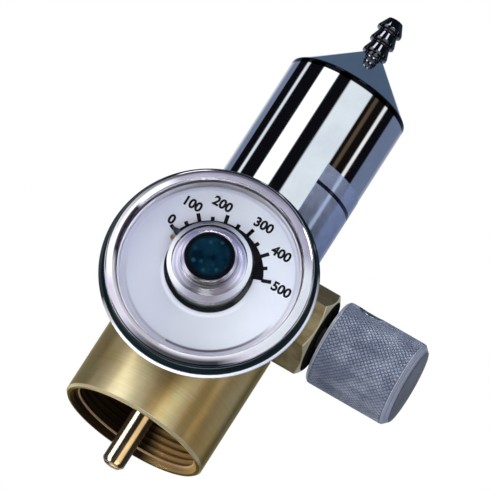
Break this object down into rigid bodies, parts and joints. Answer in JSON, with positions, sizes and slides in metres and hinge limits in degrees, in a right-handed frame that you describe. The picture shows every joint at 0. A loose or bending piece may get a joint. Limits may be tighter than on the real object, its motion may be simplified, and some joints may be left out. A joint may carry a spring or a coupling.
{
  "type": "gas cylinder regulator with pressure gauge",
  "caption": "Fixed-flow gas cylinder regulator: threaded brass inlet with probe, dial gauge, knurled on/off knob, chromed bonnet and hose barb.",
  "frame": {"origin": "centre of the inlet mouth, on the main axis", "axes": "+Z along the main axis towards the hose barb, -Y out of the gauge's face, +X along the valve towards its knob"},
  "size_m": [0.0573, 0.0454, 0.0988],
  "materials": {
    "brass_body": "satin turned brass with fine lathe lines",
    "brass_fitting": "machined brass",
    "nut_brass": "dull tarnished brass",
    "sintered_bronze": "sintered, porous",
    "tube_bronze": "drawn bronze strip",
    "chrome_bonnet": "polished chrome plating",
    "bezel_chrome": "polished chrome plating",
    "plated_piston": "nickel plated",
    "spring_steel": "drawn wire",
    "screw_steel": "bright steel",
    "knob_aluminium": "knurled, grey-blue anodised",
    "gauge_case": "dark enamel",
    "dial_face": "white enamel",
    "pointer_black": "matt black",
    "clear_lens": "clear moulded plastic",
    "dark_plug": "glossy dark teal",
    "rubber": "matt black",
    "nylon": "natural nylon",
    "ruby_plastic": "clear red"
  },
  "bodies": {
    "regulator": {"lower_body": "brass_body", "inlet_probe": "brass_body", "inlet_gasket": "rubber", "inlet_filter": "sintered_bronze", "regulator_nozzle": "brass_fitting", "main_spring": "spring_steel", "bonnet": "chrome_bonnet", "flow_restrictor": "ruby_plastic", "outlet_barb": "chrome_bonnet", "gauge_port_washer": "nylon", "gauge_socket": "brass_fitting", "gauge_case_nut": "brass_fitting", "gauge_case": "gauge_case", "gauge_dial": "dial_face", "gauge_stop_pin": "brass_fitting", "bourdon_tube": "tube_bronze", "gauge_lens": "clear_lens", "lens_plug": "dark_plug", "gauge_bezel": "bezel_chrome", "valve_nut": "nut_brass", "valve_packing_washer": "nylon", "valve_packing_ring": "rubber"},
    "valve_disc": {"valve_seat_disc": "nylon"},
    "knob_assembly": {"valve_stem": "brass_fitting", "knob": "knob_aluminium", "knob_set_screw": "screw_steel"},
    "piston_assembly": {"piston": "plated_piston", "piston_seat_pad": "nylon", "piston_head_ring": "rubber", "piston_stem_ring": "rubber"},
    "pointer": {"gauge_pointer": "pointer_black"}
  },
  "joints": [
    {"name": "valve_lift", "type": "slide", "parent": "regulator", "child": "valve_disc", "axis": [1, 0, 0], "range_m": [0, 0.00159]},
    {"name": "knob_turn", "type": "hinge", "parent": "valve_disc", "child": "knob_assembly", "pos_m": [0.03, 0, 0.0327], "axis": [1, 0, 0], "range_deg": [0, 450.1]},
    {"name": "piston_travel", "type": "slide", "parent": "regulator", "child": "piston_assembly", "axis": [0, 0, 1], "range_m": [-0.00078, 0], "stiffness_N_per_m": 1500, "deforming": ["main_spring"]},
    {"name": "pointer_sweep", "type": "hinge", "parent": "regulator", "child": "pointer", "pos_m": [0, -0.0232, 0.0259], "axis": [0, 1, 0], "range_deg": [0, 138], "stiffness_Nm_per_rad": 0.0002, "springref_deg": -2.86}
  ],
  "couplings": [
    {"joint": "knob_turn", "follows": "valve_lift", "rad_per_m": 4947.4}
  ]
}
